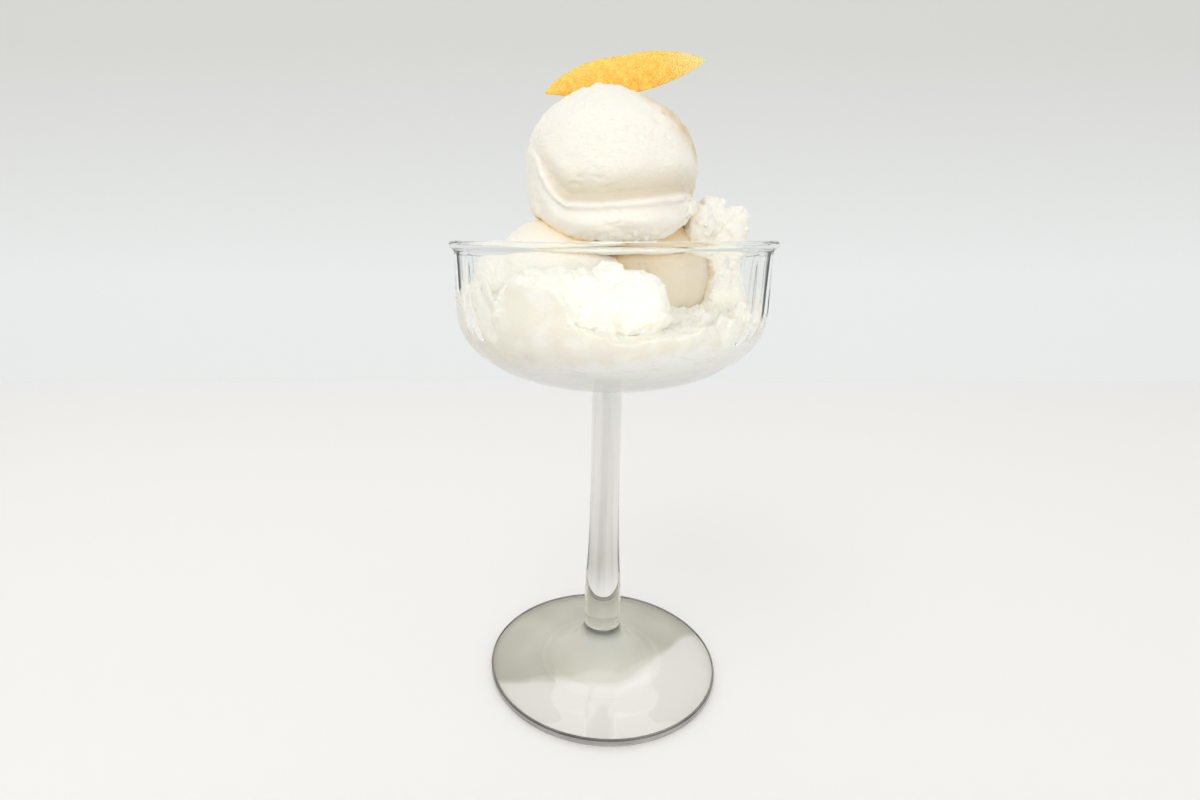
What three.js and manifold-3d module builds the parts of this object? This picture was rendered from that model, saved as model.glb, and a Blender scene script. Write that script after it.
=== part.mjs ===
// A stemmed glass coupe that holds scoops of white sorbet, with a slice of orange peel on top.
// Millimetres, +Z up, the origin at the centre of the foot's underside. Azimuths are measured
// round the glass from its front (-Y) towards its right (+X).
import * as THREE from "three";
import { mergeVertices } from "three/addons/utils/BufferGeometryUtils.js";
import Module from "manifold-3d";

const wasm = await Module();
wasm.setup();

// ---------------------------------------------------------------- driving dimensions

const GLASS_HEIGHT = 160;
const RIM_RADIUS = 52.5; // outside of the rounded rim
const BEAD_RADIUS = 1.2; // the rim is a fire-polished bead
const WALL = 2;
const BOWL_RADIUS = RIM_RADIUS - 1.1; // outside of the wall, on the creases
const SHOULDER_Z = 141; // where the upright wall starts to turn in
const BOWL_OUTSIDE_Z = 112.2; // lowest point of the bowl, outside
const BOWL_INSIDE_Z = 117.3; // and inside, over the thick bottom
const BOWL_ROUNDNESS = 2.3; // exponent of the bowl's superellipse, 2 is a plain ellipse

const PANELS = 24; // upright optic panels pressed into the outside of the bowl
const PANEL_CREASE = THREE.MathUtils.degToRad(2.5); // azimuth of the crease nearest the front
const PANEL_LOW_Z = 114;
const PANEL_HIGH_Z = 157;
const PANEL_FADE = 2.5; // height over which the panels run out under the rim

const STEM_TOP = 111.6; // the stem spreads a little where it meets the bowl
const STEM_TOP_RADIUS = 6.3;
const FOOT_RADIUS = 42.9;
const FOOT_EDGE = 2.5; // thickness at the foot's edge
const REST_RING_INNER = 33; // the foot stands on a flat ring
const KICK_UP = 0.9; // hollow under the middle of the foot

const AROUND = 2 * PANELS; // facets round the glass: one on each crease and each mid-panel
const GAP = 0.32; // clearance between neighbouring pieces

const TOP_CENTRE = new THREE.Vector3(-0.3, 0, 181.4);
const TOP_RADIUS = 27; // the disher's bowl
const TOP_LEAN = 0.07; // the crown leans to the left by this share of its height
const TOP_DOME_HEIGHT = 24.4; // the dome has settled a little
const BED_LEVEL = 138.5; // mean level of the sorbet pressed into the bowl

const PEEL_LENGTH = 51.7;
const PEEL_WIDTH = 11;
const PEEL_ARCH = 3.4; // its left half arches up before it comes down to the tip
const PEEL_THICKNESS = 2;
const PEEL_BEND_RADIUS = 62; // along its length the peel keeps some of the fruit's curve
const PEEL_CUP_RADIUS = 34; // and more of it across
const PEEL_CENTRE = new THREE.Vector3(4.3, 4.6, 210.3);
const PEEL_SLOPE = THREE.MathUtils.degToRad(12); // its right tip is the higher one
const PEEL_LEAN = THREE.MathUtils.degToRad(12); // it leans back from the front

// ---------------------------------------------------------------- helpers

const { degToRad, radToDeg, lerp, smoothstep } = THREE.MathUtils;

// A smooth, repeatable unevenness from -1 to 1: waves that run in evenly spread directions.
function ripple(p, wavelength, seed) {
  const waves = 9;
  const goldenAngle = Math.PI * (3 - Math.sqrt(5));
  let sum = 0;
  for (let i = 0; i < waves; i++) {
    const up = 1 - (2 * i + 1) / waves;
    const across = Math.sqrt(1 - up * up);
    const turn = goldenAngle * i + seed;
    const along = p.x * across * Math.cos(turn) + p.y * across * Math.sin(turn) + p.z * up;
    sum += Math.sin((2 * Math.PI * along) / wavelength + seed * (i + 1));
  }
  return sum / (0.55 * waves);
}

// A bell-shaped bump of height 1 where the angle is at the centre.
function bell(angle, centre, width) {
  const away = Math.abs(((angle - centre + 540) % 360) - 180) / width;
  return Math.exp(-away * away);
}

function toSolid(geometry) {
  const bare = geometry.clone();
  for (const name of Object.keys(bare.attributes)) {
    if (name !== "position") bare.deleteAttribute(name);
  }
  const merged = mergeVertices(bare, 1e-3);
  const index = merged.index.array;
  const position = merged.attributes.position.array;
  const faces = [];
  for (let i = 0; i < index.length; i += 3) {
    const [a, b, c] = [index[i], index[i + 1], index[i + 2]];
    if (a !== b && b !== c && c !== a) faces.push(a, b, c);
  }
  const make = (triangles) =>
    new wasm.Manifold(
      new wasm.Mesh({
        numProp: 3,
        vertProperties: position,
        triVerts: new Uint32Array(triangles),
      }),
    );
  const made = make(faces);
  return made.volume() > 0 ? made : make(faces.reverse());
}

function toGeometry(solid) {
  const { vertProperties, numProp, triVerts } = solid.getMesh();
  const position = new Float32Array((vertProperties.length / numProp) * 3);
  for (let i = 0; i < position.length / 3; i++) {
    position.set(vertProperties.subarray(i * numProp, i * numProp + 3), i * 3);
  }
  const geometry = new THREE.BufferGeometry();
  geometry.setAttribute("position", new THREE.BufferAttribute(position, 3));
  geometry.setIndex(new THREE.BufferAttribute(triVerts, 1));
  geometry.computeVertexNormals();
  return geometry;
}

// The largest piece of a solid: what a cut leaves loose beside it is dropped.
function largest(solid) {
  return solid.decompose().reduce((best, one) => (one.volume() > best.volume() ? one : best));
}

// ---------------------------------------------------------------- the glass

// A quarter of a superellipse in (radius, height), from the bottom's centre up to the shoulder.
function bowlCurve(radius, bottomZ, steps) {
  const points = [];
  for (let i = 0; i <= steps; i++) {
    const turn = (i / steps) * (Math.PI / 2);
    const r = radius * Math.sin(turn) ** (2 / BOWL_ROUNDNESS);
    const drop = (SHOULDER_Z - bottomZ) * Math.cos(turn) ** (2 / BOWL_ROUNDNESS);
    points.push(new THREE.Vector2(r, SHOULDER_Z - drop));
  }
  return points;
}

function footAndStem() {
  const underside = [
    [0, KICK_UP],
    [REST_RING_INNER * 0.7, KICK_UP * 0.7],
    [REST_RING_INNER, 0],
    [FOOT_RADIUS - 1.4, 0],
  ];
  const half = FOOT_EDGE / 2;
  const edge = [-54, -18, 18, 54].map((turn) => [
    FOOT_RADIUS - half + half * Math.cos(degToRad(turn)),
    half + half * Math.sin(degToRad(turn)),
  ]);
  const rise = new THREE.SplineCurve([
    new THREE.Vector2(FOOT_RADIUS - 1.8, FOOT_EDGE),
    new THREE.Vector2(30, 3),
    new THREE.Vector2(19, 4.3),
    new THREE.Vector2(13.2, 7.4),
    new THREE.Vector2(9.2, 12.2),
    new THREE.Vector2(7, 16.2),
  ]);
  const joint = [
    [6.3, 17.6],
    [6.5, 18.8],
  ];
  const stem = new THREE.SplineCurve([
    new THREE.Vector2(6.7, 21.5),
    new THREE.Vector2(6.9, 29),
    new THREE.Vector2(6.1, 36),
    new THREE.Vector2(5.3, 54),
    new THREE.Vector2(5.15, 76),
    new THREE.Vector2(5.2, 95),
    new THREE.Vector2(5.35, 108.5),
    new THREE.Vector2(STEM_TOP_RADIUS, STEM_TOP),
  ]);
  const pairs = (list) => list.map(([r, z]) => new THREE.Vector2(r, z));
  const foot = pairs([...underside, ...edge]);
  return [...foot, ...rise.getPoints(6), ...pairs(joint), ...stem.getPoints(6)];
}

function rimBead() {
  const points = [];
  const centreR = RIM_RADIUS - BEAD_RADIUS;
  const centreZ = GLASS_HEIGHT - BEAD_RADIUS;
  for (let turn = -60; turn <= 210; turn += 54) {
    points.push(
      new THREE.Vector2(
        centreR + BEAD_RADIUS * Math.cos(degToRad(turn)),
        centreZ + BEAD_RADIUS * Math.sin(degToRad(turn)),
      ),
    );
  }
  return points;
}

// The inside of the bowl, drawn in by an inset.
function insideCurve(inset) {
  return bowlCurve(BOWL_RADIUS - WALL - inset, BOWL_INSIDE_Z + inset, 8);
}

// Stands a lathed profile upright, with a vertex on every crease and every mid-panel.
function turned(profile) {
  return new THREE.LatheGeometry(profile, AROUND, PANEL_CREASE).rotateX(Math.PI / 2);
}

// Flattens the outside of the bowl between the creases.
function pressPanels(geometry) {
  const position = geometry.getAttribute("position");
  const point = new THREE.Vector3();
  const step = (2 * Math.PI) / PANELS;
  for (let i = 0; i < position.count; i++) {
    point.fromBufferAttribute(position, i);
    const r = Math.hypot(point.x, point.y);
    const outside = r > BOWL_RADIUS - WALL / 2 || point.z < insideHeight(r) - 1;
    const band =
      smoothstep(point.z, PANEL_LOW_Z, PANEL_LOW_Z + 8) *
      (1 - smoothstep(point.z, PANEL_HIGH_Z - PANEL_FADE, PANEL_HIGH_Z));
    if (!outside || band === 0) continue;
    const azimuth = Math.atan2(point.x, -point.y) - PANEL_CREASE;
    const fromMiddle = (((azimuth % step) + step) % step) - step / 2;
    const flat = Math.cos(step / 2) / Math.cos(fromMiddle);
    const scale = 1 + (flat - 1) * band;
    position.setXYZ(i, point.x * scale, point.y * scale, point.z);
  }
  return geometry;
}

// Height of the bowl's inner surface at a radius.
function insideHeight(r) {
  const share = Math.min(r / (BOWL_RADIUS - WALL), 1) ** BOWL_ROUNDNESS;
  return SHOULDER_Z - (SHOULDER_Z - BOWL_INSIDE_Z) * (1 - share) ** (1 / BOWL_ROUNDNESS);
}

function coupe() {
  const outside = bowlCurve(BOWL_RADIUS, BOWL_OUTSIDE_Z, 8).filter((p) => p.x > STEM_TOP_RADIUS);
  const wall = [PANEL_HIGH_Z - PANEL_FADE, PANEL_HIGH_Z].map((z) => new THREE.Vector2(BOWL_RADIUS, z));
  const inside = insideCurve(0).reverse();
  return pressPanels(turned([...footAndStem(), ...outside, ...wall, ...rimBead(), ...inside]));
}

// The room inside the bowl, carried straight up past the rim, kept clear of the wall by inset.
function roomInside(inset) {
  const r = BOWL_RADIUS - WALL - inset;
  const top = GLASS_HEIGHT + 60;
  return toSolid(
    turned([...insideCurve(inset), new THREE.Vector2(r, top), new THREE.Vector2(0, top)]),
  );
}

// ---------------------------------------------------------------- the top scoop

// How far, from 0 to 1, the fold climbs at an azimuth: high on the left, where the sorbet was
// dragged up, and not at all round the front and the right.
function climb(azimuth) {
  return smoothstep(-azimuth, 32, 70) * (1 - smoothstep(-azimuth, 105, 165));
}

// Elevation on the dome, in degrees, of the fold where the scoop's skirt starts.
function foldElevation(azimuth) {
  const waves = 5 * bell(azimuth, 75, 40) + 1.5 * Math.sin(degToRad(3 * azimuth));
  return -24 + 36 * climb(azimuth) + waves;
}

// The scoop's surface in rows from the crown down to the middle of the base: the dome above the
// fold, the fold's lip, the skirt below it, and the base.
const ROWS = 24;
const COLUMNS = 40;
const FOLD_ROW = 14;
const LIP_ROW = 16;
const SKIRT_ROW = 22;

function topScoopPoint(azimuth, row, grow) {
  const fold = foldElevation(azimuth);
  const lip = lerp(2.4, 0.3, climb(azimuth));
  const side = smoothstep(Math.abs(azimuth), 35, 85);
  const edge = new THREE.Vector2(18.6 + 5 * side, -21.6 + 7.4 * side);
  const dome = (elevation, out) => {
    const e = degToRad(elevation);
    const dent = 1.9 * bell(azimuth, 90, 50) * bell(elevation, 66, 18);
    const reach = out - dent;
    return new THREE.Vector2(
      (TOP_RADIUS + reach) * Math.cos(e),
      (TOP_DOME_HEIGHT + reach) * Math.sin(e),
    );
  };
  let at;
  if (row < FOLD_ROW) {
    const hollow = -0.9 * smoothstep(row, FOLD_ROW - 2.5, FOLD_ROW);
    at = dome(lerp(90, fold + 2, row / FOLD_ROW), hollow);
  } else if (row < LIP_ROW) {
    const s = (row - FOLD_ROW) / (LIP_ROW - FOLD_ROW);
    at = dome(fold + 2 - 5 * s, -0.9 + (0.9 + lip) * Math.sin((s * Math.PI) / 2));
  } else if (row < SKIRT_ROW) {
    const from = dome(fold - 3, lip);
    const skirt = new THREE.CubicBezierCurve(
      from,
      new THREE.Vector2(TOP_RADIUS + 0.9 - 1.1 * climb(azimuth), lerp(from.y, edge.y, 0.35)),
      new THREE.Vector2(TOP_RADIUS - 1 + 1.6 * side, lerp(from.y, edge.y, 0.9)),
      edge,
    );
    at = skirt.getPoint((row - LIP_ROW) / (SKIRT_ROW - LIP_ROW));
  } else {
    const s = (row - SKIRT_ROW) / (ROWS - SKIRT_ROW);
    at = new THREE.Vector2(edge.x * (1 - s), lerp(edge.y, -20.2, smoothstep(s, 0, 0.5)));
  }
  const a = degToRad(azimuth);
  const point = new THREE.Vector3(at.x * Math.sin(a), -at.x * Math.cos(a), at.y);
  const low = smoothstep(row, FOLD_ROW, LIP_ROW) * (1 - smoothstep(row, SKIRT_ROW, ROWS));
  const uneven = 0.28 * ripple(point, 21, 1.3) + low * 0.75 * ripple(point, 9.5, 4.1);
  point.setLength(point.length() + uneven + grow);
  point.x -= TOP_LEAN * Math.max(point.z, 0);
  return point.add(TOP_CENTRE);
}

function topScoop(grow = 0) {
  const geometry = new THREE.SphereGeometry(1, COLUMNS, ROWS);
  const position = geometry.getAttribute("position");
  for (let i = 0; i < position.count; i++) {
    const row = Math.floor(i / (COLUMNS + 1));
    const onPole = row === 0 || row === ROWS;
    const azimuth = onPole ? 0 : (360 * (i % (COLUMNS + 1))) / COLUMNS - 180;
    position.setXYZ(i, ...topScoopPoint(azimuth, row, grow).toArray());
  }
  return toSolid(geometry);
}

// ---------------------------------------------------------------- scoops and broken pieces

// A rounded lump round a centre, uneven by a share (rough) of its size in bumps of one grain.
function lump({ centre, radii, detail, rough, grain, seed }, grow = 0) {
  const geometry = new THREE.IcosahedronGeometry(1, detail);
  const position = geometry.getAttribute("position");
  const direction = new THREE.Vector3();
  const middle = new THREE.Vector3(...centre);
  const size = new THREE.Vector3(...radii);
  const bump = (rough * (size.x + size.y + size.z)) / 3;
  for (let i = 0; i < position.count; i++) {
    direction.fromBufferAttribute(position, i).normalize();
    const point = direction.clone().multiply(size);
    const far = point.length() + bump * ripple(point, grain, seed) + grow;
    position.setXYZ(i, ...point.setLength(far).add(middle).toArray());
  }
  return toSolid(geometry);
}

// Several lumps pressed into one.
function cluster(lumps, grow = 0) {
  return wasm.Manifold.union(lumps.map((one) => lump(one, grow)));
}

const SCOOP_LEFT = [
  { centre: [-18, -1, 141], radii: [24, 25.5, 26.4], detail: 5, rough: 0.012, grain: 30, seed: 2.2 },
  { centre: [-34, -3, 146.5], radii: [12.4, 15, 11.4], detail: 3, rough: 0.04, grain: 14, seed: 5.7 },
];
const SCOOP_RIGHT = [
  { centre: [13.5, 10, 146], radii: [21, 20.5, 25.2], detail: 5, rough: 0.012, grain: 30, seed: 3.4 },
];
const CHUNK_FRONT = [
  { centre: [-20.5, -35, 140.5], radii: [13.6, 13, 12.4], detail: 3, rough: 0.05, grain: 13, seed: 1.9 },
  { centre: [3.4, -35.4, 141.5], radii: [10.6, 9.8, 10.4], detail: 3, rough: 0.09, grain: 8, seed: 7.3 },
  { centre: [-4, -33.6, 148], radii: [5.6, 5.6, 6.6], detail: 2, rough: 0.08, grain: 7, seed: 6.1 },
];
const CHUNK_RIGHT = [
  { centre: [38.2, 8, 138], radii: [10.4, 15, 13], detail: 3, rough: 0.09, grain: 10, seed: 8.2 },
  { centre: [37, 9, 155], radii: [5.6, 7, 13], detail: 2, rough: 0.1, grain: 8, seed: 2.9 },
  { centre: [34.6, 10, 167.5], radii: [4.8, 5.6, 6.6], detail: 2, rough: 0.1, grain: 7, seed: 4.4 },
  { centre: [41.4, 9, 165.5], radii: [5.4, 6, 5.6], detail: 2, rough: 0.12, grain: 7, seed: 9.1 },
];

// ---------------------------------------------------------------- the bed

// Level of the sorbet pressed into the bowl: higher along the wall, in broken waves.
function bedLevel(x, y) {
  const r = Math.hypot(x, y);
  const azimuth = radToDeg(Math.atan2(x, -y));
  const nearWall = smoothstep(r, 30, 48);
  const waves = ripple(new THREE.Vector3(x, y, 0), 17, 5.2);
  return (
    BED_LEVEL + nearWall * (1.6 + 3 * bell(azimuth, -65, 28) + 1.5 * bell(azimuth, 160, 50)) + waves
  );
}

function bed() {
  const rings = 4;
  const outer = BOWL_RADIUS - WALL - GAP;
  const below = insideCurve(GAP).filter((p) => p.y < BED_LEVEL - 4);
  const profile = [...below];
  for (let i = 0; i <= rings; i++) {
    profile.push(new THREE.Vector2(outer * (1 - i / rings), BED_LEVEL));
  }
  const geometry = turned(profile);
  const position = geometry.getAttribute("position");
  for (let i = 0; i < position.count; i++) {
    if (position.getZ(i) < BED_LEVEL - 1) continue;
    const [x, y] = [position.getX(i), position.getY(i)];
    const z = bedLevel(x, y);
    const scale = Math.min(1, insideRadius(z, GAP) / Math.max(Math.hypot(x, y), 1e-6));
    position.setXYZ(i, x * scale, y * scale, z);
  }
  return toSolid(geometry);
}

// Radius of the room inside the bowl at a height, on the facets of its profile.
function insideRadius(z, inset) {
  const curve = insideCurve(inset);
  const above = curve.findIndex((p) => p.y > z);
  if (above < 0) return curve.at(-1).x;
  const [low, high] = [curve[above - 1], curve[above]];
  return lerp(low.x, high.x, (z - low.y) / (high.y - low.y));
}

// ---------------------------------------------------------------- the orange peel

// A pointed strip of peel, convex towards the front: a box whose length, width and thickness
// are bent and tapered into place.
function peel(grow = 0) {
  const geometry = new THREE.BoxGeometry(1, 1, 1, 20, 1, 4);
  const position = geometry.getAttribute("position");
  const lengthways = new THREE.Vector3(Math.cos(PEEL_SLOPE), 0, Math.sin(PEEL_SLOPE));
  const upwards = new THREE.Vector3(-Math.sin(PEEL_SLOPE), Math.tan(PEEL_LEAN), Math.cos(PEEL_SLOPE));
  const inwards = new THREE.Vector3(0, 1, 0);
  for (let i = 0; i < position.count; i++) {
    const u = 2 * position.getX(i);
    const v = 2 * position.getZ(i);
    const side = position.getY(i); // -0.5 on the zest, 0.5 on the pith
    const taper = Math.max(0, 1 - Math.abs(u) ** 2.4) ** 0.72;
    const along = u * (PEEL_LENGTH / 2 + grow);
    const arch = PEEL_ARCH * Math.max(0, -u) * (1 - u * u);
    const across = arch + v * ((PEEL_WIDTH / 2) * taper + 0.35 + grow);
    const thickness = PEEL_THICKNESS * (0.45 + 0.55 * taper) * (1 - 0.25 * v * v) + 2 * grow;
    const bend = along ** 2 / (2 * PEEL_BEND_RADIUS) + across ** 2 / (2 * PEEL_CUP_RADIUS);
    const point = PEEL_CENTRE.clone()
      .addScaledVector(lengthways, along)
      .addScaledVector(upwards, across)
      .addScaledVector(inwards, bend + side * thickness);
    position.setXYZ(i, ...point.toArray());
  }
  return toSolid(geometry);
}

// ---------------------------------------------------------------- the whole

const room = roomInside(GAP);
const topGrown = topScoop(GAP);
const leftGrown = cluster(SCOOP_LEFT, GAP);
const rightGrown = cluster(SCOOP_RIGHT, GAP);
const frontGrown = cluster(CHUNK_FRONT, GAP);
const sideGrown = cluster(CHUNK_RIGHT, GAP);

const fit = (solid, ...neighbours) =>
  largest(neighbours.reduce((rest, one) => rest.subtract(one), solid.intersect(room))).simplify(0.1);

const solids = {
  scoop_top: largest(topScoop().subtract(peel(GAP))),
  scoop_left: fit(cluster(SCOOP_LEFT), topGrown),
  scoop_right: fit(cluster(SCOOP_RIGHT), topGrown, leftGrown),
  chunk_front: fit(cluster(CHUNK_FRONT), topGrown, leftGrown, rightGrown),
  chunk_right: fit(cluster(CHUNK_RIGHT), topGrown, leftGrown, rightGrown),
  sorbet_bed: fit(bed(), leftGrown, rightGrown, frontGrown, sideGrown).simplify(0.2),
  orange_peel: peel(),
};

const glass = new THREE.MeshStandardMaterial({
  color: 0xeef3f2,
  roughness: 0.04,
  metalness: 0,
  transparent: true,
  opacity: 0.3,
});
const sorbet = new THREE.MeshStandardMaterial({ color: 0xfbf6e8, roughness: 0.5, metalness: 0 });
const zest = new THREE.MeshStandardMaterial({ color: 0xf8b63c, roughness: 0.45, metalness: 0 });

const sorbetCup = new THREE.Group();

function addPiece(name, geometry, material) {
  const mesh = new THREE.Mesh(geometry, material);
  mesh.name = name;
  sorbetCup.add(mesh);
}

addPiece("coupe", coupe(), glass);
for (const [name, solid] of Object.entries(solids)) {
  addPiece(name, toGeometry(solid), name === "orange_peel" ? zest : sorbet);
}

export default sorbetCup;
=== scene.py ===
# %% [markdown]
# # A sorbet cup, dressed
#
# The solid model gives a stemmed glass coupe, three scoops of white sorbet, the pieces that broke
# off them, the sorbet pressed into the bowl, and a slice of orange peel. Here each of them gets its
# real surface: the grain of frozen fruit ice, clear pressed glass, and the dimples of a zest. The
# solid model is loaded first and is never moved. Pieces are worked out in millimetres and scaled to
# metres when their mesh is made. The camera, the studio and the materials are in metres.

# %% The solid model
import math
from functools import partial

import bpy
import numpy as np
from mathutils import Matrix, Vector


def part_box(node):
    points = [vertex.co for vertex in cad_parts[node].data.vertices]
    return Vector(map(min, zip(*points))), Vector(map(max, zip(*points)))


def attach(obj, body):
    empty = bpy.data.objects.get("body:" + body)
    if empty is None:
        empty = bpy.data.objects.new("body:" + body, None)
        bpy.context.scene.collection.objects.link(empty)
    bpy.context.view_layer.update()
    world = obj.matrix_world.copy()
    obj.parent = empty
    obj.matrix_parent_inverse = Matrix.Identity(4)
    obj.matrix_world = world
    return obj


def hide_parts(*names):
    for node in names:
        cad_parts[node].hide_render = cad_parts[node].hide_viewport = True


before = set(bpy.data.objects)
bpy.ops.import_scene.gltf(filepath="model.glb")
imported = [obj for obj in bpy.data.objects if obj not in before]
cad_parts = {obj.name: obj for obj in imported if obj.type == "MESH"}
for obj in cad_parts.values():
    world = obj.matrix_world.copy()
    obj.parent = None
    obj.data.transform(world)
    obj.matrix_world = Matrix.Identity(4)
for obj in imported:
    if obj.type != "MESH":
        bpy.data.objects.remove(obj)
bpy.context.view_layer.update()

MM = 0.001
print("nodes:", sorted(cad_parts))

# %% [markdown]
# ## The camera
#
# A camera that stands close to a small thing needs a short lens. This one looks down a little, and
# its frame is shifted sideways, so that the glass stands right of the optical axis. Its focal
# length and the column that the axis goes through are given in pixels of a frame 1200 wide.

# %% Camera
FRAME_WIDTH = 1200
FOCAL_PIXELS = 615
AXIS_COLUMN = 554.7
LOOKS_DOWN = 14.82
SENSOR_WIDTH = 36
eye = bpy.data.objects.new("eye", bpy.data.cameras.new("eye"))
bpy.context.scene.collection.objects.link(eye)
eye.location = (-0.0183, -0.2081, 0.1610)
eye.rotation_euler = (math.radians(90 - LOOKS_DOWN), 0, 0)
eye.data.sensor_width = SENSOR_WIDTH
eye.data.lens = SENSOR_WIDTH * FOCAL_PIXELS / FRAME_WIDTH
eye.data.shift_x = (FRAME_WIDTH / 2 - AXIS_COLUMN) / FRAME_WIDTH
eye.data.clip_start = 0.01
bpy.context.scene.camera = eye
print("lens", round(eye.data.lens, 2), "mm")

# %% [markdown]
# ## Helpers for shapes
#
# Sorbet is easiest to describe as a field: a number for every point of space that is negative
# inside the piece, positive outside, and roughly the distance to its surface. Pieces are then
# joined with a minimum, cut with a maximum, and roughened by adding noise. A field becomes a mesh
# by laying a grid of small cells over it and putting one vertex into each cell that the surface
# passes through, at the mean of the places where it crosses the cell's edges.

# %% Small curves
def smoothstep(x, low, high):
    t = np.clip((x - low) / (high - low), 0, 1)
    return t * t * (3 - 2 * t)


def bell(angle, centre, width):
    away = (angle - centre + 540) % 360 - 180
    return np.exp(-((away / width) ** 2))


def azimuth_of(p):
    """Degrees round the glass from its front (-Y) towards its right (+X)."""
    return np.degrees(np.arctan2(p[:, 0], -p[:, 1]))


# %% Waves and grain
WAVES = 9
WAVES_TOGETHER = 4.95


def ripple(p, wavelength, seed):
    """Smooth unevenness from about -1 to 1: a few waves that run in evenly spread directions."""
    total = 0
    for i in range(WAVES):
        up = 1 - (2 * i + 1) / WAVES
        across = math.sqrt(1 - up * up)
        turn = math.pi * (3 - math.sqrt(5)) * i + seed
        along = p[:, 0] * across * math.cos(turn) + p[:, 1] * across * math.sin(turn) + p[:, 2] * up
        total = total + np.sin(2 * math.pi * along / wavelength + seed * (i + 1))
    return total / WAVES_TOGETHER


random = np.random.default_rng(7)
slopes = random.normal(size=(256, 3))
slopes /= np.linalg.norm(slopes, axis=1, keepdims=True)
shuffle = random.permutation(256)


def grain(p, size, seed=0):
    """Gradient noise from about -1 to 1, whose bumps are about size across."""
    q = p / size + seed * 17.31
    cell = np.floor(q).astype(np.int64)
    t = q - cell
    ease = t * t * t * (t * (t * 6 - 15) + 10)
    total = 0
    for corner in np.ndindex(2, 2, 2):
        c = (cell + corner) & 255
        slope = slopes[shuffle[(shuffle[(shuffle[c[:, 0]] + c[:, 1]) & 255] + c[:, 2]) & 255]]
        weight = np.prod(np.where(corner, ease, 1 - ease), axis=1)
        total = total + weight * np.sum(slope * (t - corner), axis=1)
    return total * 1.6


def torn(p, size, seed=0):
    """Rounded bumps with sharp valleys between them, as broken ice has, from about -0.4 to 1."""
    return 1.8 * np.abs(grain(p, size, seed)) - 0.4


sample = random.uniform(-40, 40, (4000, 3))
print("grain spans", grain(sample, 3).min().round(2), "to", grain(sample, 3).max().round(2))


# %% A mesh from a field
def sample_grid(field, low, high, cell):
    axes = [np.arange(low[i], high[i] + cell, cell) for i in range(3)]
    points = np.stack(np.meshgrid(*axes, indexing="ij"), -1).reshape(-1, 3)
    return field(points).reshape([len(axis) for axis in axes])


def surface_of(field, low, high, cell):
    """Vertices and four-sided faces of the surface where the field is zero."""
    value = sample_grid(field, low, high, cell)
    inside = value < 0
    if inside.sum() != inside[1:-1, 1:-1, 1:-1].sum():
        raise ValueError("the grid cuts the piece off, so its mesh would be open")
    shape = np.array(value.shape) - 1
    total = np.zeros((*shape, 3))
    count = np.zeros(shape)
    edges = []
    for axis in range(3):
        first = [slice(None)] * 3
        second = [slice(None)] * 3
        first[axis], second[axis] = slice(0, -1), slice(1, None)
        a, b = value[tuple(first)], value[tuple(second)]
        starts = np.argwhere(inside[tuple(first)] != inside[tuple(second)])
        u, v = (axis + 1) % 3, (axis + 2) % 3
        across = starts[:, [u, v]]
        starts = starts[np.all((across > 0) & (across < shape[[u, v]]), axis=1)]
        at = tuple(starts.T)
        crossing = starts.astype(float)
        crossing[:, axis] += a[at] / (a[at] - b[at])
        around = []
        for du, dv in ((-1, -1), (0, -1), (0, 0), (-1, 0)):
            near = starts.copy()
            near[:, u] += du
            near[:, v] += dv
            np.add.at(total, tuple(near.T), crossing)
            np.add.at(count, tuple(near.T), 1)
            around.append(near)
        edges.append((around, inside[tuple(first)][at]))
    used = count > 0
    number = np.full(shape, -1)
    number[used] = np.arange(used.sum())
    vertices = np.array(low) + cell * total[used] / count[used][:, None]
    faces = []
    for around, outward in edges:
        quad = np.stack([number[tuple(near.T)] for near in around], 1)
        quad[~outward] = quad[~outward][:, ::-1]
        faces.append(quad)
    return vertices, np.concatenate(faces).tolist()


def make_piece(name, vertices, faces):
    """A smooth-shaded Blender object from vertices in millimetres and a list of faces."""
    mesh = bpy.data.meshes.new(name)
    mesh.from_pydata((vertices * MM).tolist(), [], faces)
    mesh.validate()
    mesh.polygons.foreach_set("use_smooth", np.full(len(mesh.polygons), True))
    piece = bpy.data.objects.new(name, mesh)
    bpy.context.scene.collection.objects.link(piece)
    triangles = sum(len(face.vertices) - 2 for face in mesh.polygons)
    print(name, len(mesh.vertices), "vertices", triangles, "triangles")
    return piece


def paint(piece, name, amounts):
    """Keeps a number from 0 to 1 with each vertex, for the material to read."""
    kept = piece.data.attributes.new(name, "FLOAT", "POINT")
    kept.data.foreach_set("value", np.clip(amounts, 0, 1).astype(np.float32))


# %% [markdown]
# ## Helpers for materials
#
# A material is a net of nodes, and sums read badly as a net. The class below wraps one output of a
# node, so that a sum written in Python adds the Math nodes it needs, and its one method `node` adds
# any other node from its type, its settings and what goes into its sockets.

# %% Sums on sockets
class Wire:
    def __init__(self, tree, socket=None):
        self.tree = tree
        self.socket = socket

    def node(self, kind, settings=None, sockets=None, out=0):
        made = self.tree.nodes.new(kind)
        for name, value in (settings or {}).items():
            setattr(made, name, value)
        for name, value in (sockets or {}).items():
            if isinstance(value, Wire):
                self.tree.links.new(value.socket, made.inputs[name])
            else:
                made.inputs[name].default_value = value
        return Wire(self.tree, made.outputs[out]) if len(made.outputs) else made

    def sum(self, operation, *values):
        return self.node("ShaderNodeMath", {"operation": operation}, dict(enumerate(values)))

    def __add__(self, other):
        return self.sum("ADD", self, other)

    def __sub__(self, other):
        return self.sum("SUBTRACT", self, other)

    def __rsub__(self, other):
        return self.sum("SUBTRACT", other, self)

    def __mul__(self, other):
        return self.sum("MULTIPLY", self, other)

    def __truediv__(self, other):
        return self.sum("DIVIDE", self, other)

    def __pow__(self, other):
        return self.sum("POWER", self, other)

    def limited(self, low=0.0, high=1.0):
        return self.sum("MINIMUM", self.sum("MAXIMUM", self, low), high)

    __radd__ = __add__
    __rmul__ = __mul__


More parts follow.
